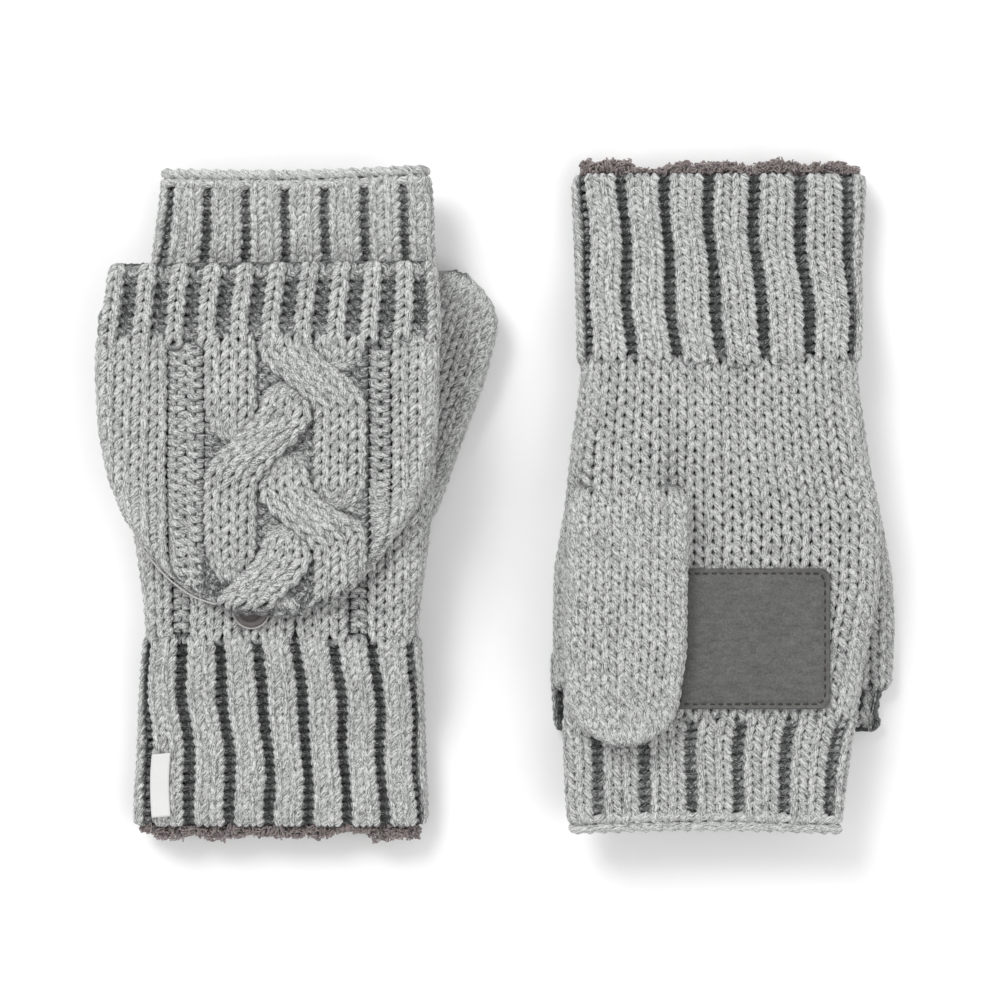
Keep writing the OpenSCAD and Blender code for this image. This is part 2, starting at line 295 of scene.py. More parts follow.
class Skein:
    """Yarn tubes gathered into one mesh."""

    def __init__(self, radius=YARN_R, around=AROUND):
        self.radius, self.around = radius, around
        self.points, self.faces, self.fibre, self.shade, self.count = [], [], [], [], 0

    def run(self, centre, normal, shade=None):
        """Adds a tube along centre points, with the surface's normals and how deep the points lie,
        which sets their painted shade.
        """
        n, k = len(centre), self.around
        tangent = np.gradient(centre, axis=0)
        tangent /= np.linalg.norm(tangent, axis=1, keepdims=True) + 1e-9
        across = np.cross(tangent, normal)
        across /= np.linalg.norm(across, axis=1, keepdims=True) + 1e-9
        up = np.cross(across, tangent)
        radius = np.full(n, self.radius)
        radius[[0, -1]] = 0.12 * self.radius
        angle = np.arange(k) * tau / k
        step = np.linalg.norm(np.diff(centre, axis=0), axis=1)
        length = np.concatenate([[0], np.cumsum(step)]) + random.uniform(0, 900)
        turn = angle[None, :] + TWIST * length[:, None]
        sideways = across[:, None] * np.cos(angle)[None, :, None]
        ring = sideways + YARN_FLAT * up[:, None] * np.sin(angle)[None, :, None]
        spread = radius[:, None] * (1 + PLY * np.cos(2 * turn))
        self.points.append((centre[:, None] + ring * spread[..., None]).reshape(-1, 3))
        self.fibre.append(
            np.stack([np.repeat(length, k), np.cos(turn).ravel(), np.sin(turn).ravel()], -1))
        # Painted shade: each point's depth, more on the side that faces into the fabric, darkens the
        # yarn's colour.
        deep = np.zeros(n) if shade is None else shade
        self.shade.append((deep[:, None] - self.radius * np.sin(angle)[None, :]).ravel())
        a = (np.arange(n - 1)[:, None] * k + np.arange(k)[None, :]).ravel()
        b = (np.arange(n - 1)[:, None] * k + (np.arange(k)[None, :] + 1) % k).ravel()
        self.faces.append(np.stack([a, b, b + k, a + k], -1) + self.count)
        self.count += n * k

    def mesh(self):
        """Points, faces, and each point's place on the fibre."""
        return np.vstack(self.points), np.vstack(self.faces), np.vstack(self.fibre)

    def depths(self):
        """How deep each point lies, which sets its painted shade."""
        return np.concatenate(self.shade)


def straight(xi, y, depth):
    """The warp that moves nothing."""
    return xi, y, depth


def knit(skein, half, columns, y_from, y_to, span, warp=straight, seed=0, points=POINTS,
         row=ROW, inward=False):
    """Knits rows of loops on a half, between y_from and y_to.

    span(y) gives the xi that the columns are spread over. warp moves the yarn on the surface.
    inward says that the fabric is seen from inside.
    """
    rng = np.random.default_rng(seed)
    rows = max(1, round(abs(y_to - y_from) / row))
    for k in range(rows):
        y = y_from + (k + 0.5) / rows * (y_to - y_from)
        low, high = span(y)
        edges = columns.fitted(low, high)
        xi, dy, depth, own = course(edges, columns, rng, points, row)
        xi, yy, depth = warp(xi, y + dy * np.sign(y_to - y_from), depth)
        low, high = half.reach(yy + EDGE)
        lower, higher = half.reach(yy - EDGE)
        keep = (xi > np.minimum(low, lower) - 1.2) & (xi < np.maximum(high, higher) + 1.2)
        if keep.sum() < points:
            continue
        first, last = np.flatnonzero(keep)[[0, -1]]
        part = slice(first, last + 1)
        centre, normal = half.place(xi[part], yy[part], depth[part])
        # Painted shade: yarn sunk below its own loop is darkened in proportion; fabric seen from inside
        # takes it from the inner face.
        shade = own + columns.shade * np.maximum(depth - own, 0)
        if inward:
            normal, shade = -normal, 2 * (YARN_R + LOOP_D) - own
        skein.run(centre, normal, shade=shade[part])


# ---- Meshes and pieces ----


def mesh_object(name, points, faces, fibre=None, materials=(), depth=None):
    """A smooth mesh object from row-frame points and faces, all of one length."""
    mesh = bpy.data.meshes.new(name)
    faces = np.asarray(faces)
    size = faces.shape[1]
    mesh.vertices.add(len(points))
    mesh.vertices.foreach_set("co", np.asarray(points, np.float32).ravel())
    mesh.loops.add(faces.size)
    mesh.loops.foreach_set("vertex_index", faces.astype(np.int32).ravel())
    mesh.polygons.add(len(faces))
    mesh.polygons.foreach_set("loop_start", np.arange(0, faces.size, size, dtype=np.int32))
    mesh.polygons.foreach_set("use_smooth", np.ones(len(faces), bool))
    if fibre is not None:
        layer = mesh.attributes.new("fibre", "FLOAT_VECTOR", "POINT")
        layer.data.foreach_set("vector", np.asarray(fibre, np.float32).ravel())
    # The depth attribute carries the yarn's painted shade.
    if depth is not None:
        layer = mesh.attributes.new("depth", "FLOAT", "POINT")
        layer.data.foreach_set("value", np.asarray(depth, np.float32))
    mesh.update(calc_edges=True)
    mesh.validate()
    obj = bpy.data.objects.new(name, mesh)
    bpy.context.collection.objects.link(obj)
    for mat in materials:
        mesh.materials.append(mat)
    return obj


def grid_faces(rows, cols, close=False, first=0):
    """Quads of a grid of points, row by row; close joins the last column to the first."""
    r = np.arange(rows - 1)[:, None] * cols
    c = np.arange(cols if close else cols - 1)[None, :]
    a = (r + c).ravel()
    b = (r + (c + 1) % cols).ravel()
    return np.stack([a, b, b + cols, a + cols], -1) + first


def sheet_faces(rows, cols):
    """Faces of a thin sheet: a grid of points, the grid of its inner side, and the rim between."""
    n = rows * cols
    rim = np.concatenate([
        np.arange(cols - 1), np.arange(rows - 1) * cols + cols - 1,
        n - 1 - np.arange(cols - 1), (rows - 1 - np.arange(rows - 1)) * cols,
    ])
    after = np.roll(rim, -1)
    return np.concatenate([
        grid_faces(rows, cols), grid_faces(rows, cols, first=n)[:, ::-1],
        np.stack([rim, rim + n, after + n, after], -1),
    ])


def backing(half, y_from, y_to, depth, warp=straight):
    """A thin inner face that stops one seeing through the loops."""
    ys = np.linspace(y_from, y_to, max(3, round(abs(y_to - y_from) / 2)))
    cols = 48
    s = np.linspace(0, 1, cols)
    yy = np.repeat(ys[:, None], cols, 1)
    low, high = half.reach(yy)
    xi = low + (high - low) * s[None, :]
    outer, inner = (half.place(*warp(xi, yy, np.full_like(xi, d)))[0] for d in (depth, depth + 0.35))
    points = np.concatenate([outer.reshape(-1, 3), inner.reshape(-1, 3)])
    return points, sheet_faces(len(ys), cols)


def pressed(points):
    """Fabric that would reach the table is pressed flat on it."""
    low = np.minimum(points[:, 2], PRESS) - PRESS
    height = np.where(low < 0, PRESS * np.exp(low / PRESS), points[:, 2])
    return np.column_stack([points[:, :2], height])


def worn(obj, side, body, node=None):
    """Makes a piece ride on a body of its mitten, in place of a CAD node if one is named."""
    if node:
        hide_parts(f"{side}_{node}")
    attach(obj, f"{side}_{body}")
    return obj


def piece(side, name, skein, backings, body, nodes, lift=None, inner=None):
    """A knitted piece, its yarn and the inner face behind it, in place of CAD nodes.

    It rides on the body, and where that is None the caller bakes its place into its points. lift moves
    its points before the mitten is laid down, and inner is the wool of its inner face.
    """
    points, faces, fibre = skein.mesh()
    depth = skein.depths()
    yarn_faces = len(faces)
    for more, quads in backings:
        faces = np.concatenate([faces, quads + len(points)])
        points = np.concatenate([points, more])
        fibre = np.concatenate([fibre, more])
        depth = np.concatenate([depth, np.full(len(more), BACKING_SHADE)])
    placed = pressed(lie(side, lift(points) if lift else points))
    # Unless given, the inner face is the near-black wool of painted shade.
    wools = [YARN, inner or PAINTED_SHADE_WOOL]
    obj = mesh_object(f"{side}_{name}_knit", placed, faces, fibre, wools, depth)
    behind = np.arange(len(faces)) >= yarn_faces
    obj.data.polygons.foreach_set("material_index", behind.astype(np.int32))
    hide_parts(*[f"{side}_{n}" for n in nodes])
    if body:
        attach(obj, f"{side}_{body}")
    return obj


def strands(side, name, skein, mat, body, node=None):
    """A piece made of one skein's bare strands."""
    points, faces, _ = skein.mesh()
    obj = mesh_object(f"{side}_{name}", lie(side, points), faces, materials=[mat])
    return worn(obj, side, body, node)


# ---- Materials ----


def material(name):
    mat = bpy.data.materials.new(name)
    mat.use_nodes = True
    tree = mat.node_tree
    return mat, tree, tree.nodes["Principled BSDF"]


def feed(tree, socket, value):
    """Links a socket to another node's output, or sets its own value."""
    if isinstance(value, bpy.types.NodeSocket):
        tree.links.new(value, socket)
    else:
        socket.default_value = value


def node(tree, kind, **inputs):
    """A shader node, with its inputs fed by name."""
    made = tree.nodes.new(f"ShaderNode{kind}")
    for name, value in inputs.items():
        feed(tree, made.inputs[name], value)
    return made


def math_node(tree, operation, *values):
    made = node(tree, "Math")
    made.operation = operation
    for socket, value in zip(made.inputs, values):
        feed(tree, socket, value)
    return made.outputs["Value"]


def attribute(tree, name):
    made = node(tree, "Attribute")
    made.attribute_name = name
    return made


def object_place(tree):
    return node(tree, "TexCoord").outputs["Object"]


def ramp(tree, factor, stops):
    """The colour that a factor picks from stops of (place, colour)."""
    made = node(tree, "ValToRGB", Fac=factor)
    while len(made.color_ramp.elements) < len(stops):
        made.color_ramp.elements.new(0.5)
    for element, (place, colour) in zip(made.color_ramp.elements, stops):
        element.position = place
        element.color = (*colour, 1)
    return made.outputs["Color"]


def noise(tree, vector, scale, detail=3.0, rough=0.55):
    return node(tree, "TexNoise", Vector=vector, Scale=scale, Detail=detail,
                Roughness=rough).outputs["Fac"]


def scaled(tree, vector, factors):
    return node(tree, "Mapping", Vector=vector, Scale=factors).outputs["Vector"]


def bump(tree, shader, height, strength, distance):
    made = node(tree, "Bump", Height=height, Strength=strength, Distance=distance)
    tree.links.new(made.outputs["Normal"], shader.inputs["Normal"])


def grey(v):
    return (v, v, v)


def yarn_material():
    """Heather-grey yarn: two twisted plies of pale and dark fibres that run along the strand, with
    painted shade where it lies deep and between its plies.
    """
    mat, tree, shader = material("heather_yarn")
    fibre = attribute(tree, "fibre").outputs["Vector"]
    ply = math_node(tree, "ABSOLUTE", node(tree, "SeparateXYZ", Vector=fibre).outputs["Y"])
    streaks = noise(tree, scaled(tree, fibre, (0.22, 2.1, 2.1)), 2.0, 5.0, 0.66)
    patches = noise(tree, scaled(tree, fibre, (0.16, 0.5, 0.5)), 1.0, 2.0)
    tone = math_node(tree, "MULTIPLY_ADD", streaks, 2.3, -0.60)
    # Painted shade: the plies' crowns are a little lighter and the grooves between them a little
    # darker.
    tone = math_node(tree, "MULTIPLY_ADD", ply, 0.06, tone)
    tone = math_node(tree, "MULTIPLY_ADD", patches, 0.2, tone)
    # Painted shade: the depth attribute darkens yarn that lies deep, in the gaps between loops and down
    # the gutters.
    painted_shade_share = math_node(tree, "DIVIDE", attribute(tree, "depth").outputs["Fac"], 6.0)
    painted_hollow_shade = [(0.0, grey(0.0)), (0.13, grey(0.06)), (0.33, grey(0.31)), (0.9, grey(0.60))]
    tone = math_node(tree, "SUBTRACT", tone, ramp(tree, painted_shade_share, painted_hollow_shade))
    wools = [(0.18, (0.03, 0.031, 0.032)), (0.40, (0.13, 0.134, 0.134)),
             (0.58, (0.34, 0.347, 0.34)), (0.80, (0.76, 0.77, 0.755))]
    feed(tree, shader.inputs["Base Color"], ramp(tree, tone, wools))
    shader.inputs["Roughness"].default_value = 0.93
    shader.inputs["Sheen Weight"].default_value = 0.25
    shader.inputs["Sheen Roughness"].default_value = 0.5
    shader.inputs["Specular IOR Level"].default_value = 0.15
    bump(tree, shader, math_node(tree, "MULTIPLY_ADD", ply, 0.2, streaks), 0.9, 0.0006)
    return mat


def mottled_material(name, grain, stops, roughness, relief, sheen=0.0):
    """A material whose noise picks its colour and raises its surface.

    grain is the noise's scale, detail and roughness. relief is the bump's strength and height.
    roughness is one value, or the ramp stops that the noise picks it from.
    """
    mat, tree, shader = material(name)
    mottle = noise(tree, object_place(tree), *grain)
    feed(tree, shader.inputs["Base Color"], ramp(tree, mottle, stops))
    gloss = ramp(tree, mottle, roughness) if isinstance(roughness, list) else roughness
    feed(tree, shader.inputs["Roughness"], gloss)
    shader.inputs["Sheen Weight"].default_value = sheen
    bump(tree, shader, mottle, *relief)
    return mat


def inner_wool_material(name, dark, light):
    """The felted inner face of the knit, behind its loops."""
    stops = [(0.35, grey(dark)), (0.7, grey(light))]
    return mottled_material(name, (700, 4.0, 0.6), stops, 0.95, (0.6, 0.0004))


def plush_material():
    """Taupe pile, darker between its curls."""
    stops = [(0.3, (0.13, 0.105, 0.10)), (0.55, (0.27, 0.225, 0.215)), (0.75, (0.42, 0.36, 0.345))]
    return mottled_material("taupe_plush", (900, 4.0, 0.6), stops, 0.95, (0.7, 0.0006), sheen=0.5)


def thread_material(name, dark, light):
    """Twisted thread between two colours."""
    return mottled_material(name, (2600, 2.0), [(0.35, dark), (0.65, light)], 0.7, (0.4, 0.0001))


def button_material():
    """Matt taupe plastic, faintly clouded."""
    taupes = [(0.3, (0.10, 0.088, 0.086)), (0.7, (0.155, 0.135, 0.13))]
    gloss = [(0.3, grey(0.42)), (0.7, grey(0.6))]
    return mottled_material("taupe_button", (420, 5.0), taupes, gloss, (0.15, 0.0001))


def leather_material():
    """Grey leather with fine pebbled grain and faint creases across."""
    mat, tree, shader = material("grey_leather")
    place = object_place(tree)
    pebbles = node(tree, "TexVoronoi", Vector=place, Scale=1500).outputs["Distance"]
    creases = noise(tree, scaled(tree, place, (0.6, 1.2, 1.0)), 420, 6.0, 0.7)
    grain = math_node(tree, "MULTIPLY_ADD", pebbles, 0.4, creases)
    greys = [(0.45, (0.052, 0.052, 0.05)), (0.95, (0.125, 0.125, 0.12))]
    gloss = [(0.3, grey(0.46)), (0.9, grey(0.64))]
    feed(tree, shader.inputs["Base Color"], ramp(tree, grain, greys))
    feed(tree, shader.inputs["Roughness"], ramp(tree, grain, gloss))
    bump(tree, shader, grain, 0.6, 0.00025)
    return mat


def label_material():
    """White woven tape, with its weave and no lettering."""
    mat, tree, shader = material("white_tape")
    weave = node(tree, "TexChecker", Vector=object_place(tree), Scale=3600).outputs["Fac"]
    whites = [(0.0, (0.62, 0.62, 0.61)), (1.0, (0.74, 0.74, 0.73))]
    feed(tree, shader.inputs["Base Color"], ramp(tree, weave, whites))
    shader.inputs["Roughness"].default_value = 0.75
    bump(tree, shader, weave, 0.3, 0.00008)
    return mat


YARN = yarn_material()
# Painted shade: a near-black inner face behind the loops, standing in for the shade in the gaps between
# them.
PAINTED_SHADE_WOOL = inner_wool_material("painted_shade_wool", 0.045, 0.15)
PALE_WOOL = inner_wool_material("pale_wool", 0.13, 0.32)
PLUSH = plush_material()
LEATHER = leather_material()
BROWN_THREAD = thread_material("brown_thread", (0.02, 0.014, 0.012), (0.05, 0.036, 0.03))
PALE_THREAD = thread_material("pale_thread", (0.42, 0.40, 0.38), (0.62, 0.60, 0.58))
ELASTIC = thread_material("pale_elastic", (0.38, 0.37, 0.355), (0.56, 0.55, 0.53))
BUTTON_TAUPE = button_material()
TAPE = label_material()

# ---- Knitted pieces ----

CUFF_TOP = -46.0  # where the cuff's ribs meet the hand
CUFF_END = float(HAND_WIDE[0, 0])
HAND_END = 72.0  # where the hand meets the finger band
BAND_END = float(stations(cad_points("finger_band"))[-1, 0])
MOUTH_Y = float(HOOD_WIDE[-1, 0])
RIB_TOP = float(stations(cad_points("mouth_rib"))[0, 0])
TIP_Y = float(HOOD_WIDE[0, 0])
BACKING = 3.0  # depth of the inner face behind stockinette
RIB_BACKING = 5.0  # the same behind ribs and plaits
BACK_PLAIT_X = -2.0
BACK_PLAIT_TOP = 62  # where the plait's first crossing starts
HOOD_PLAIT_X = 5.6
HOOD_PLAIT_TOP = 51
COLUMN = 5.8  # a stitch column's width

SPLAY = {"left": radians(20), "right": radians(1.5)}  # how far each thumb leans outwards at rest
THUMB_AT = (31.5, -0.5)  # the thumb's swing axis
THUMB_RISE = 10.0  # how far the thumb's face stands out from the palm
PALM_Z = -float(HAND_DEEP[:, 2].max())


def full(half, spill=0.0):
    """A span over the whole of a half."""
    def span(y):
        low, high = half.reach(np.array(y))
        return float(low) - spill, float(high) + spill
    return span


def fixed(low, high):
    """A span that is the same all along."""
    return lambda y: (low, high)


def lean(amount, slant=0.0, y_start=0.0):
    """Ribs that wander sideways as they run, and slant by so much a millimetre from y_start."""
    def warp(xi, y, depth):
        drift = amount * wander(xi * 0.5, y * 1.4, 1.3) + slant * (y - y_start) * (1 - (xi / 62) ** 2)
        return xi + drift, y + 0.7 * wander(xi, y, 2.1), depth - 0.35 * wander(xi, y, 0.4)
    return warp


def uneven(xi, y, depth):
    """Hand-made unevenness: every stitch a little off its place."""
    drift, slip = 0.35 * wander(xi, y, 3.0), 0.4 * wander(xi, y, 1.7)
    return xi + drift, y + slip, depth - 0.3 * wander(xi, y, 0.9)


PLAIT_W = 18.0  # from strand to strand
STRAND_COLUMNS = 3
STEEP_Y = -17.0  # where the hood's outline steepens, below its tip's curve
LEVEL_Y = 12.0  # where the hood's rows start to bend towards its tip
SIDE_KNITS = 8  # columns of stockinette on either side of a plait
CHAIN_LINK = 4.6  # from link to link of the cast-off chain

# each crossing, from the fingers down: the two places that trade strands, whether the strand that
# goes right lies over the other, and the length it takes
CROSSINGS = [(1, 2, True, 21.5), (0, 1, False, 25.0), (1, 2, True, 21.5), (0, 1, False, 25.0)]


def strand_path(strand, top):
    """How a plait strand runs downwards from top: its y, the middle's x, and its height."""
    place, y = strand, top
    ys, xs, hs = [top + 60], [place], [0.0]
    for left, right, right_going_over, length in CROSSINGS:
        if place in (left, right):
            target = right if place == left else left
            over = right_going_over if target > place else not right_going_over
            for t in np.linspace(0, 1, 13):
                moved = ease(t) if over else ease((t - 0.25) / 0.5)
                ys.append(y - t * length)
                xs.append(place + (target - place) * float(moved))
                hs.append((1.0 if over else -1.0) * sin(pi * t))
            place = target
        else:
            ys.append(y - length / 2)
            xs.append(place)
            hs.append(0.0)
        y -= length
    order = np.argsort(ys)
    ys, xs, hs = np.array(ys)[order], np.array(xs)[order], np.array(hs)[order]
    return ys, (xs - 1) * PLAIT_W, hs


def plait(skein, half, centre, top, y_from, y_to, seed, bend=straight):
    """Three strands that cross by turns."""
    wide = PLAIT_W * 0.95
    for strand in range(3):
        ys, xs, hs = strand_path(strand, top)

        def warp(xi, y, depth, ys=ys, xs=xs, hs=hs):
            height = np.interp(y, ys, hs)
            crown = 1.6 * (1 - np.abs(xi / (wide / 2)) ** 2.6)
            rise = np.where(height > 0, 2.0, 2.2) * height
            spread = 1 + np.where(height > 0, 0.24, 0.3) * height
            return bend(centre + np.interp(y, ys, xs) + xi * spread, y, depth - crown - rise)

        knit(skein, half, plain(STRAND_COLUMNS), y_from, y_to, fixed(-wide / 2, wide / 2), warp,
             seed + strand)


def outline_end(half):
    """For each xi, the y at which the hood's outline ends, no further up than STEEP_Y."""
    y = half.y[half.y < 0]
    low, high = half.reach(y)

    def end(xi):
        left = np.interp(-xi, -low, y)
        right = np.interp(xi, high, y)
        return np.clip(np.where(xi < 0, left, right), TIP_Y, STEEP_Y)
    return end


def hood_bend(half):
    """Rows that curve to follow the hood's tip."""
    end = outline_end(half)

    def warp(xi, y, depth):
        offset = (end(xi) - TIP_Y) * ease((LEVEL_Y - y) / (LEVEL_Y - TIP_Y))
        drift, slip, lump = (0.3 * wander(xi, y, field) for field in (5.0, 6.0, 7.0))
        return xi + drift, y + offset + slip, depth - lump
    return warp


def side_blocks(half, skein, centre, y_from, y_to, seed, warp, left_gutter, right_gutter):
    """Stockinette at both sides of a plait, and purl gutters and ground beside and under it."""
    left_edge, right_edge = centre - 1.5 * PLAIT_W, centre + 1.5 * PLAIT_W
    ground = Columns([-1] * 10, [1] * 10, [1.7] * 10, shade=0.5)
    knit(skein, half, ground, y_from, y_to, fixed(left_edge, right_edge), warp, seed)
    for sign, gutter, edge in ((-1, left_gutter, left_edge), (1, right_gutter, right_edge)):
        purls = max(1, round(gutter / COLUMN))
        outer = edge + sign * gutter
        knit(skein, half, Columns([-1] * purls, [1] * purls, [1.5] * purls), y_from, y_to,
             fixed(min(edge, outer), max(edge, outer)), warp, seed + 7 + sign)
        far = outer + sign * SIDE_KNITS * COLUMN
        depths = [0.25, -0.35] + [0.0] * (SIDE_KNITS - 2)
        stockinette = Columns([1] * SIDE_KNITS, [1] * SIDE_KNITS, depths[::sign])
        knit(skein, half, stockinette, y_from, y_to,
             fixed(min(outer, far), max(outer, far)), warp, seed + 17 + sign)


def rolled(y_edge, radius, warp=straight):
    """Turns the fabric in over an edge at y_edge; rows past it run back down inside."""
    inward = np.sign(y_edge)

    def roll(xi, y, depth):
        xi, y, depth = warp(xi, y, depth)
        past = np.maximum((y - y_edge) * inward + radius, 0) / radius
        turn = np.minimum(past, pi)
        y = np.where(past > 0, y_edge - inward * radius * (1 - np.sin(turn)), y)
        return xi, y, depth + radius * (1 - np.cos(turn))
    return roll


def cuff(side):
    """The ribbed cuff, its edge rolled in; the half that lies uppermost is puffed more."""
    skein = Skein()
    ribs = ((back, 24, 0.95, -0.055, 1), (palm, 21, 0.75, -0.07, 2))
    for half, count, gutter, slant, seed in ribs:
        faces_up = (half is back) == (side == "left")
        columns = ribbed(count, gutter=gutter, start=1, puff=1.5 if faces_up else 0.0)
        warp = rolled(CUFF_END, 1.6, lean(1.2, slant, CUFF_TOP))
        knit(skein, half, columns, CUFF_END - 1.4, CUFF_TOP, full(half), warp, seed=seed, row=RIB_ROW)
    sheets = [backing(half, CUFF_END + 1.5, CUFF_TOP, RIB_BACKING) for half in (back, palm)]
    return piece(side, "cuff", skein, sheets, "mitten", ["cuff"])


def back_panel(side):
    """The back of the hand, with a plait that the hood mostly covers."""
    skein = Skein()
    side_blocks(back, skein, BACK_PLAIT_X, CUFF_TOP, HAND_END, 30, uneven,
                left_gutter=6.0, right_gutter=6.3)
    plait(skein, back, BACK_PLAIT_X, BACK_PLAIT_TOP, CUFF_TOP, HAND_END - 8, 40, bend=uneven)
    return piece(side, "back_panel", skein, [backing(back, CUFF_TOP, HAND_END, RIB_BACKING)],
                 "mitten", ["back_panel"])


def thumb_gusset(xi, y, depth):
    """Lifts the palm up to the thumb's root."""
    xi, y, depth = uneven(xi, y, depth)
    own_y = y - THUMB_AT[1]
    rise = ease((own_y + 27) / 25) * (1 - ease((own_y + 1) / 3))
    u = (xi - THUMB_AT[0]) / 19.3
    across = np.where(u < 0, ease((0.92 + u) / 0.5), ease((0.95 - u) / 0.5))
    return xi, y, depth - THUMB_RISE * rise * across


def palm_panel(side):
    """The palm, which rises into the thumb's root."""
    skein = Skein()
    knit(skein, palm, plain(18), CUFF_TOP, HAND_END, full(palm), thumb_gusset, seed=3)
    sheets = [backing(palm, CUFF_TOP, HAND_END, BACKING, warp=thumb_gusset)]
    return piece(side, "palm_panel", skein, sheets, "mitten", ["palm_panel"])


def finger_band(side):
    """The open ribbed band round the fingers."""
    skein = Skein()
    for half, count, seed in ((back, 22, 4), (palm, 19, 5)):
        faces_up = (half is back) == (side == "left")
        columns = ribbed(count, start=1, puff=1.5 if faces_up else 0.2, sink=1.8)
        knit(skein, half, columns, HAND_END, BAND_END - 2.4, full(half), lean(0.8), seed=seed,
             row=RIB_ROW)
    sheets = [backing(half, HAND_END, BAND_END - 1, RIB_BACKING - 0.4) for half in (back, palm)]
    return piece(side, "finger_band", skein, sheets, "mitten", ["finger_band"])


def chain(skein, half, y, seed):
    """A cast-off chain that runs round a half at y, a little lower in the middle."""
    rng = np.random.default_rng(seed)
    low, high = (float(v) for v in half.reach(np.array(y)))
    links = round((high - low) / CHAIN_LINK)
    for k in range(links):
        t = np.linspace(-pi, pi, 17)
        stretch = 1 + 0.06 * rng.standard_normal()
        xi = low + (k + 0.5) / links * (high - low) + 3.7 * np.cos(t) * stretch
        sag = 1.3 * np.sin((xi - low) / (high - low) * pi)
        yy = y - 0.6 + 6.4 / tau * (t + 0.25 * np.sin(2 * t)) - sag
        depth = 0.2 + 0.6 * (1 + np.cos(2 * t))
        skein.run(*half.place(xi, yy, depth), shade=depth)


def cast_off(side):
    """The chain that finishes the finger band's edge."""
    skein = Skein(radius=1.3)
    for half, seed in ((back, 6), (palm, 7)):
        chain(skein, half, BAND_END, seed)
    return piece(side, "cast_off", skein, [], "mitten", ["cast_off"])


def hood_front(side):
    """The hood's upper layer, with the plait, down to its tip."""
    skein = Skein()
    bend = hood_bend(hood_top)
    side_blocks(hood_top, skein, HOOD_PLAIT_X, RIB_TOP + 1, TIP_Y - 1, 60, bend,
                left_gutter=12.5, right_gutter=8.0)
    plait(skein, hood_top, HOOD_PLAIT_X, HOOD_PLAIT_TOP, RIB_TOP + 1, TIP_Y, 70, bend=bend)
    obj = piece(side, "hood_front", skein, [backing(hood_top, RIB_TOP, TIP_Y + 3, RIB_BACKING)],
                None, ["hood_front", "hood_tip"], inner=PALE_WOOL)
    return blend_hood(obj)


def hood_back(side):
    """The hood's lower layer, in stockinette."""
    skein = Skein()
    bend = hood_bend(hood_under)
    knit(skein, hood_under, plain(21), HINGE_Y, TIP_Y - 1, fixed(-62, 60), bend, seed=8)
    obj = piece(side, "hood_back", skein, [backing(hood_under, HINGE_Y, TIP_Y + 3, BACKING)],
                None, ["hood_back"], inner=PALE_WOOL)
    return blend_hood(obj)


def mouth_gutters(xi, y, depth):
    """Lets the gutters run out at the rolled edge, where the ribs spread and close them."""
    xi, y, depth = lean(0.8)(xi, y, depth)
    shallow = np.maximum(ease((y - (MOUTH_Y - 6)) / 4), 0.7 * ease((RIB_TOP + 9 - y) / 9))
    return xi, y, depth - shallow * np.maximum(depth - YARN_R - LOOP_D, 0)


def mouth_rib(side):
    """The hood's ribbed mouth, turned in at its edge, with purl stitches seen inside."""
    skein = Skein()
    columns = ribbed(22, knits=1, gutter=0.85, sink=2.6, start=1, puff=1.2, shade=0.6)
    lip, turned_in = rolled(MOUTH_Y, 2.2, mouth_gutters), MOUTH_Y + 1.2
    span = full(hood_top)
    knit(skein, hood_top, columns, turned_in, RIB_TOP, span, lip, seed=9, row=RIB_ROW + 0.4)
    knit(skein, hood_top, columns, turned_in + 3, turned_in, span, lip, seed=10, inward=True)
    inside = Columns([-1] * 20, [1] * 20, [3.2] * 20)
    knit(skein, hood_top, inside, MOUTH_Y - 1.5, HINGE_Y - 2, span, uneven, seed=19, inward=True)
    obj = piece(side, "mouth_rib", skein, [backing(hood_top, RIB_TOP, HINGE_Y, RIB_BACKING)],
                None, ["mouth_rib"])
    return blend_hood(obj)


def blend_hood(obj):
    """Bakes a hood piece's place into its points."""
    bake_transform(obj)
    return obj


# ---- Thumb ----

THUMB_ROUND_Y = 62.0  # where the thumb's end starts to round off, from its swing axis
THUMB_END_Y = 80.0


def thumb_turn(points, angle):
    """From the thumb's own frame, along +Y from its swing axis, to the flat mitten's frame."""
    x, y, z = points.T
    return np.stack([
        THUMB_AT[0] + x * cos(angle) + y * sin(angle),
        THUMB_AT[1] - x * sin(angle) + y * cos(angle), z], -1)


def thumb_halves(side):
    """Both halves of the thumb in its own frame, with a root that rises into the palm."""
    p = cad_points("thumb", side)
    angle = SPLAY[side]
    x, y = p[:, 0] - THUMB_AT[0], p[:, 1] - THUMB_AT[1]
    own = np.stack([x * cos(angle) - y * sin(angle), x * sin(angle) + y * cos(angle), p[:, 2]], -1)
    rows = stations(own)
    rows = rows[rows[:, 0] > 10]
    tip = [[y, -w, w, *end_depth(rows, y)] for y, w in blunt(rows)]
    rows = np.vstack([rows[rows[:, 0] < THUMB_ROUND_Y], tip])
    low, high = rows[0, 3], rows[0, 4]
    root_y = np.array([-6.0, 0, 4])
    half_w = np.array([0.84, 0.95, 1.0]) * rows[0, 2]
    bottom = np.array([low + 0.6, low + 0.2, low])
    top = PALM_Z + 1 + (high - PALM_Z - 1) * np.array([0.0, 0.5, 0.85])
    wide = np.vstack([np.stack([root_y, -half_w, half_w], -1), rows[:, [0, 1, 2]]])
    deep = np.vstack([np.stack([root_y, bottom, top], -1), rows[:, [0, 3, 4]]])
    return Half(wide, deep, 1, reach=6), Half(wide, deep, -1, reach=6)


def blunt(rows):
    """The thumb's rounded end: (y, half width)."""
    full_w = np.interp(THUMB_ROUND_Y, rows[:, 0], rows[:, 2])
    for t in np.linspace(0, 0.985, 16):
        y = THUMB_ROUND_Y + t * (THUMB_END_Y - THUMB_ROUND_Y)
        yield y, full_w * (1 - t ** 2.3) ** 0.5


def end_depth(rows, y):
    """Lowest and highest z at y."""
    return [float(np.interp(y, rows[:, 0], rows[:, k])) for k in (3, 4)]


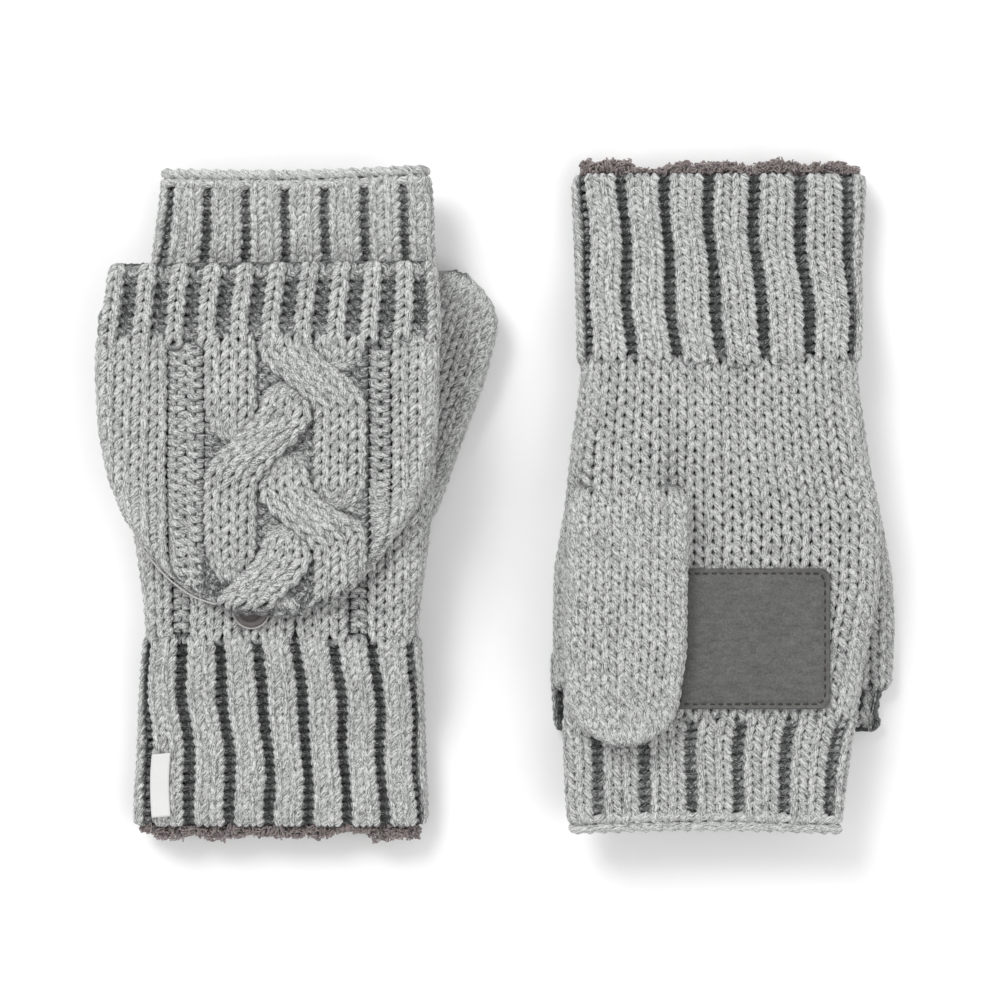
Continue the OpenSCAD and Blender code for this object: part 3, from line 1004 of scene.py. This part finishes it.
def thumb(side):
    """A stockinette tube whose root rises into the palm, turned to its resting splay."""
    skein = Skein()
    upper, lower = thumb_halves(side)
    end = float(upper.y[-1])
    for half, seed in ((upper, 11), (lower, 12)):
        start = -2.0 if half is lower else 0.0
        knit(skein, half, plain(9), start, end - 0.8, full(half), uneven, seed=seed)
    sheets = [backing(upper, 2.0, end - 2, BACKING), backing(lower, -2.0, end - 2, BACKING)]
    obj = piece(side, "thumb", skein, sheets, None, ["thumb"],
                lift=lambda p: thumb_turn(p, SPLAY[side]), inner=PALE_WOOL)
    root = thumb_turn(np.array([[0, -6.0, PALM_Z], [0, 16.0, PALM_Z]]), SPLAY[side])
    start, stop = lie(side, root)
    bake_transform(obj)
    return obj


# ---- Lining ----

PLUSH_OUT = 5.4  # depth of the lining's outer face
PLUSH_IN = 6.6  # depth of its inner face
PLUSH_FAR = 56.0  # where it ends inside the hand
TUFTS = 1250  # on each half
SHOW_Y = float(stations(cad_points("lining"))[0, 0])


def lining(side):
    """A plush sleeve with a curly edge that shows past the cuff."""
    near = np.linspace(SHOW_Y + 1.0, SHOW_Y + 8, 10)
    ys = np.concatenate([near, np.linspace(SHOW_Y + 12, PLUSH_FAR, 30)])
    cols = 90
    loops = []
    for depth, rough in ((PLUSH_OUT, 0.5), (PLUSH_IN, 0.9)):
        ring = []
        for half, direction in ((back, 1), (palm, -1)):
            s = np.linspace(0, 1, cols)[::direction][:-1]
            yy = np.repeat(ys[:, None], cols - 1, 1)
            low, high = half.reach(yy)
            xi = low + (high - low) * s[None, :]
            lump = rough * random.uniform(-1, 1, xi.shape) + 0.5 * wander(xi * 9, yy * 9, depth)
            lump[0] *= 0.3
            points, _ = half.place(xi, yy + 0.3 * lump, depth + 0.45 * lump)
            ring.append(points)
        loops.append(np.concatenate(ring, 1))
    rows, around = loops[0].shape[:2]
    points = np.concatenate([loop.reshape(-1, 3) for loop in loops])
    n = rows * around
    outer = grid_faces(rows, around, close=True)
    inner = grid_faces(rows, around, close=True, first=n)[:, ::-1]
    first = np.arange(around)
    after = np.roll(first, -1)
    last = first + n - around
    rims = [np.stack([first, first + n, after + n, after], -1),
            np.stack([last, np.roll(last, -1), np.roll(last, -1) + n, last + n], -1)]
    faces = np.concatenate([outer, inner, *rims])
    obj = mesh_object(f"{side}_lining_plush", lie(side, points), faces, materials=[PLUSH])
    return worn(obj, side, "mitten", "lining")


def plush_curls(side):
    """The pile's curly tufts along the lining's edge, thicker in some places than in others."""
    tufts = Skein(radius=0.24, around=4)
    t = np.linspace(0, 1, 9)
    for half in (back, palm):
        low, high = (float(v) for v in half.reach(np.array(SHOW_Y)))
        for _ in range(TUFTS):
            xi0 = random.uniform(low, high)
            clump = wander(xi0 * 3.1, 0.0, 2.0) + 0.4 * wander(xi0 * 12.0, 3.0, 1.0)
            y0 = SHOW_Y + 2.6 - (3.6 + 1.5 * clump) * random.uniform(0, 1) ** 0.8
            size = random.uniform(0.35, 0.95)
            angle = random.uniform(0, tau) + random.uniform(1.2, 2.6) * pi * t
            plane = random.normal(size=(2, 3))
            ring = plane[0] * np.cos(angle)[:, None] + plane[1] * np.sin(angle)[:, None]
            curl = size * ring * 0.6
            xi = np.clip(xi0 + curl[:, 0], low, high)
            depth = np.maximum(random.uniform(2.0, 5.4) + curl[:, 2], 0.6)
            tufts.run(*half.place(xi, y0 + curl[:, 1], depth))
    return strands(side, "lining_curls", tufts, PLUSH, "mitten")


# ---- Patch, button, loop and label ----

PATCH_CORNER = 3.2
PATCH_CROWN = 0.5  # how far the patch's top stands over its CAD thickness
SEAM_INSET = 1.7  # of the stitches, from the patch's edge

# The patch's section from its edge inwards: the inset, the height as a share of the top's, and
# what is added to that. The dip is where the stitches pull the leather in.
PATCH_SECTION = [
    (0.1, 0, -0.6), (0.0, 0.6, 0), (0.25, 0.95, 0), (0.7, 1, 0.1), (1.3, 1, -0.1),
    (SEAM_INSET, 1, -0.28), (2.1, 1, -0.1), (3.0, 1, 0.18), (5, 1, 0.25), (9, 1, 0.3),
    (14, 1, 0.3), (19, 1, 0.3),
]


def centre_and_size(node):
    """Middle and size of a CAD node on the flat mitten, in millimetres."""
    p = cad_points(node)
    return (p.min(0) + p.max(0)) / 2, p.max(0) - p.min(0)


def rounded_edge(half_w, half_l, radius, count=12):
    """Points round a rectangle with round corners."""
    points = []
    for cx, cy, start in ((1, 1, 0), (-1, 1, 90), (-1, -1, 180), (1, -1, 270)):
        for a in np.linspace(start, start + 90, count):
            points.append((cx * (half_w - radius) + radius * cos(radians(a)),
                           cy * (half_l - radius) + radius * sin(radians(a))))
    return np.array(points)


def dense(points, step):
    """A closed outline's points, evenly spaced."""
    loop = np.vstack([points, points[:1]])
    length = np.concatenate([[0], np.cumsum(np.linalg.norm(np.diff(loop, axis=0), axis=1))])
    at = np.linspace(0, length[-1], max(8, round(length[-1] / step)), endpoint=False)
    return np.stack([np.interp(at, length, loop[:, k]) for k in (0, 1)], -1)


def palm_patch(side):
    """A leather patch that is pressed in along its stitches and crowned between them."""
    centre, size = centre_and_size("palm_patch")
    edge = dense(rounded_edge(size[0] / 2, size[1] / 2, PATCH_CORNER), 0.7)
    rings, heights = [], []
    top = size[2] + PATCH_CROWN
    for inset, share, added in PATCH_SECTION:
        ring = edge * (1 - inset / (size[:2] / 2))
        rings.append(ring)
        lumps = 0.12 * wander(ring[:, 0] * 3, ring[:, 1] * 3, 8.0)
        heights.append(np.full(len(ring), top * share + added) + lumps)
    n = len(edge)
    flat = np.vstack(rings + [np.zeros((1, 2))])
    middle_height = top + PATCH_SECTION[-1][2]
    height = np.concatenate(heights + [[middle_height]])
    points = np.stack([centre[0] + flat[:, 0], centre[1] + flat[:, 1], PALM_Z - height], -1)
    faces = grid_faces(len(rings), n, close=True)
    last = (len(rings) - 1) * n + np.arange(n)
    fan = np.stack([last, np.roll(last, -1), np.full(n, len(flat) - 1)], -1)
    obj = polygons_object(f"{side}_palm_patch_leather", lie(side, points), faces, fan, LEATHER)
    worn(obj, side, "mitten", "palm_patch")
    flat = (float(size[0]) * MM, float(size[1]) * MM)
    patch_stitches(side)
    return obj


def polygons_object(name, points, quads, triangles, mat):
    """A smooth mesh object of quads and triangles."""
    mesh = bpy.data.meshes.new(name)
    mesh.from_pydata(points.tolist(), [], quads.tolist() + triangles.tolist())
    mesh.polygons.foreach_set("use_smooth", np.ones(len(mesh.polygons), bool))
    mesh.materials.append(mat)
    obj = bpy.data.objects.new(name, mesh)
    bpy.context.collection.objects.link(obj)
    return obj


def patch_stitches(side):
    """The thread that dips into the leather at both ends of each stitch."""
    centre, size = centre_and_size("palm_patch")
    half_w, half_l = size[:2] / 2 - SEAM_INSET
    line = dense(rounded_edge(half_w, half_l, PATCH_CORNER - 1), 2.8)
    after = np.roll(line, -1, 0)
    thread = Skein(radius=0.27, around=6)
    height = size[2] + PATCH_CROWN
    for a, b in zip(line, after):
        t = np.linspace(0.14, 0.86, 7)
        xy = a + (b - a) * t[:, None]
        z = PALM_Z - height + 0.55 - 0.5 * np.sin((t - 0.14) / 0.72 * pi) ** 0.7
        along = np.stack([centre[0] + xy[:, 0], centre[1] + xy[:, 1], z], -1)
        thread.run(along, np.tile([0.0, 0.0, -1.0], (7, 1)))
    return strands(side, "patch_stitches_thread", thread, BROWN_THREAD, "mitten",
                   "patch_stitches")


def turned(side, name, centre, profile, mat, steps=72):
    """A closed turned shape: profile is (radius, z), from the axis to the axis."""
    profile = np.array(profile, float)
    angle = np.arange(steps) * tau / steps
    ring = np.stack([np.cos(angle), np.sin(angle)], -1)
    points = []
    for r, z in profile:
        points.append(np.concatenate([centre[:2] + r * ring, np.full((steps, 1), z)], 1))
    faces = grid_faces(len(profile), steps, close=True)
    return mesh_object(name, lie(side, np.vstack(points)), faces, materials=[mat])


def button(side):
    """A button with a raised rim and a dished middle."""
    centre, size = centre_and_size("button")
    r, base, top = size[0] / 2, centre[2] - size[2] / 2, centre[2] + size[2] / 2
    bevel = [(0.02, base + 0.35), (r - 2.2, base + 0.1), (r - 1.0, base), (r - 0.4, base + 0.25),
             (r - 0.06, base + 0.7), (r, base + 1.15), (r - 0.1, base + 1.6), (r - 0.45, top - 0.18),
             (r - 0.95, top), (r - 1.5, top - 0.04), (r - 1.95, top - 0.3), (r - 2.3, top - 0.7),
             (r - 2.7, top - 0.92), (1.6, top - 1.0), (0.9, top - 1.02), (0.02, top - 1.05)]
    obj = turned(side, f"{side}_button_disc", centre, bevel, BUTTON_TAUPE)
    return worn(obj, side, "button", "button")


def button_thread(side):
    """Turns of sewing thread over the button's middle and down its shank."""
    centre, size = centre_and_size("button_thread")
    top, base = centre[2] + size[2] / 2 - 0.9, centre[2] - size[2] / 2
    thread = Skein(radius=0.27, around=6)
    for k in range(5):
        offset = (k - 2) * 0.33
        t = np.linspace(0, 1, 13)
        x = centre[0] - 1.5 + 3.0 * t
        y = centre[1] + offset + 0.3 * np.sin(3 * t + k)
        z = top + 0.75 * np.sin(pi * t) - 0.25 + 0.12 * (k % 2)
        thread.run(np.stack([x, y, z], -1), np.tile([0.0, 0.0, 1.0], (13, 1)))
    turn = np.linspace(0, 5 * tau, 60)
    shank = np.stack([centre[0] + 0.85 * np.cos(turn), centre[1] + 0.85 * np.sin(turn),
                      base + (top - base) * turn / turn[-1]], -1)
    outward = np.stack([np.cos(turn), np.sin(turn), 0 * turn], -1)
    thread.run(shank, outward)
    return strands(side, "button_thread_turns", thread, PALE_THREAD, "mitten",
                   "button_thread")


def loop(side):
    """A thin elastic that runs along the hood's tip and goes round the button."""
    at = centre_and_size("button")[0]
    radius = centre_and_size("loop")[1][0] / 2 - 0.9
    low = hood_top.mid[0]
    cord = Skein(radius=0.28, around=6)
    a = np.radians(np.linspace(140, 395, 40))
    ring = np.stack([at[0] + radius * np.cos(a), at[1] + radius * 0.98 * np.sin(a),
                     np.full(40, at[2] + 0.1)], -1)
    edge = []
    for x in np.linspace(-46, -16, 14):
        y = float(np.interp(x, hood_top.lo[:60][::-1], hood_top.y[:60][::-1]))
        edge.append((x - 0.6, y - 0.9, low + 0.6))
    path = np.vstack([edge, ring])
    t = np.linspace(0, len(path) - 1, 150)
    given = np.arange(len(path))
    smooth = np.stack([np.interp(t, given, softened(path[:, k], 2)) for k in range(3)], -1)
    cord.run(smooth, np.tile([0.0, 0.0, 1.0], (150, 1)))
    return strands(side, "loop_elastic", cord, ELASTIC, "loop", "loop")


def label(side):
    """A folded woven tape, a little curled, sewn flat beside the side seam."""
    centre, size = centre_and_size("label")
    rows, cols = 26, 9
    v = np.linspace(-1, 1, rows)[:, None]
    u = np.linspace(-1, 1, cols)[None, :]
    x = centre[0] + u * size[0] / 2 + 0.6 * v * v - 0.4
    y = centre[1] + v * size[1] / 2 + 0.3 * u
    lift = 0.5 * np.abs(v) ** 3 + 0.35 * u + 0.1 * np.sin(5 * v)
    sheets = []
    for thick in (0.0, 0.45):
        z = centre[2] - size[2] / 2 + 0.9 + lift + thick
        sheets.append(np.stack(np.broadcast_arrays(x, y, z), -1).reshape(-1, 3))
    faces = sheet_faces(rows, cols)[:, ::-1]
    points = pressed(lie(side, np.vstack(sheets)))
    obj = mesh_object(f"{side}_label_tape", points, faces, materials=[TAPE])
    return worn(obj, side, "mitten", "label")


PARTS = (cuff, back_panel, palm_panel, finger_band, cast_off, hood_front, hood_back, mouth_rib, thumb,
         lining, plush_curls, palm_patch, button, button_thread, loop, label)


# ---- Camera, floor and light ----


SENSOR = 36  # millimetres
LENS = 100  # millimetres
VIEW = 0.33  # metres across the view
TOP = 0.02  # height of the plane that the view is measured on


def camera():
    """Straight above the pair."""
    lens = bpy.data.cameras.new("camera")
    lens.lens = LENS
    lens.sensor_width = SENSOR
    lens.clip_end = 20
    cam = bpy.data.objects.new("camera", lens)
    cam.location = (0, 0, VIEW / SENSOR * LENS + TOP)
    bpy.context.collection.objects.link(cam)
    bpy.context.scene.camera = cam


def floor():
    """A plain pale sheet of paper, just under the pair."""
    bpy.ops.mesh.primitive_plane_add(size=6, location=(0, 0, -0.0004))
    plane = bpy.context.object
    mat, tree, shader = material("paper")
    fibres = noise(tree, object_place(tree), 30)
    feed(tree, shader.inputs["Base Color"], ramp(tree, fibres, [(0.3, grey(0.93)), (0.7, grey(0.95))]))
    shader.inputs["Roughness"].default_value = 0.9
    plane.data.materials.append(mat)


def lamp(name, place, size, power):
    """A square lamp that faces the pair."""
    light = bpy.data.lights.new(name, "AREA")
    light.size = size
    light.energy = power
    obj = bpy.data.objects.new(name, light)
    obj.location = place
    obj.rotation_euler = (-obj.location).to_track_quat("-Z", "Y").to_euler()
    bpy.context.collection.objects.link(obj)


def studio():
    """Soft light from all round, a key lamp and a fill lamp."""
    world = bpy.data.worlds.new("studio")
    world.use_nodes = True
    world.node_tree.nodes["Background"].inputs["Color"].default_value = (1, 1, 1, 1)
    world.node_tree.nodes["Background"].inputs["Strength"].default_value = 0.7
    bpy.context.scene.world = world
    lamp("key", (-0.7, 0.9, 1.3), 0.7, 16)
    lamp("fill", (0.9, -0.5, 1.4), 1.1, 7)


for mitten in SIDES:
    for part in PARTS:
        part(mitten)
camera()
floor()
studio()
bpy.context.scene.view_settings.view_transform = "Standard"
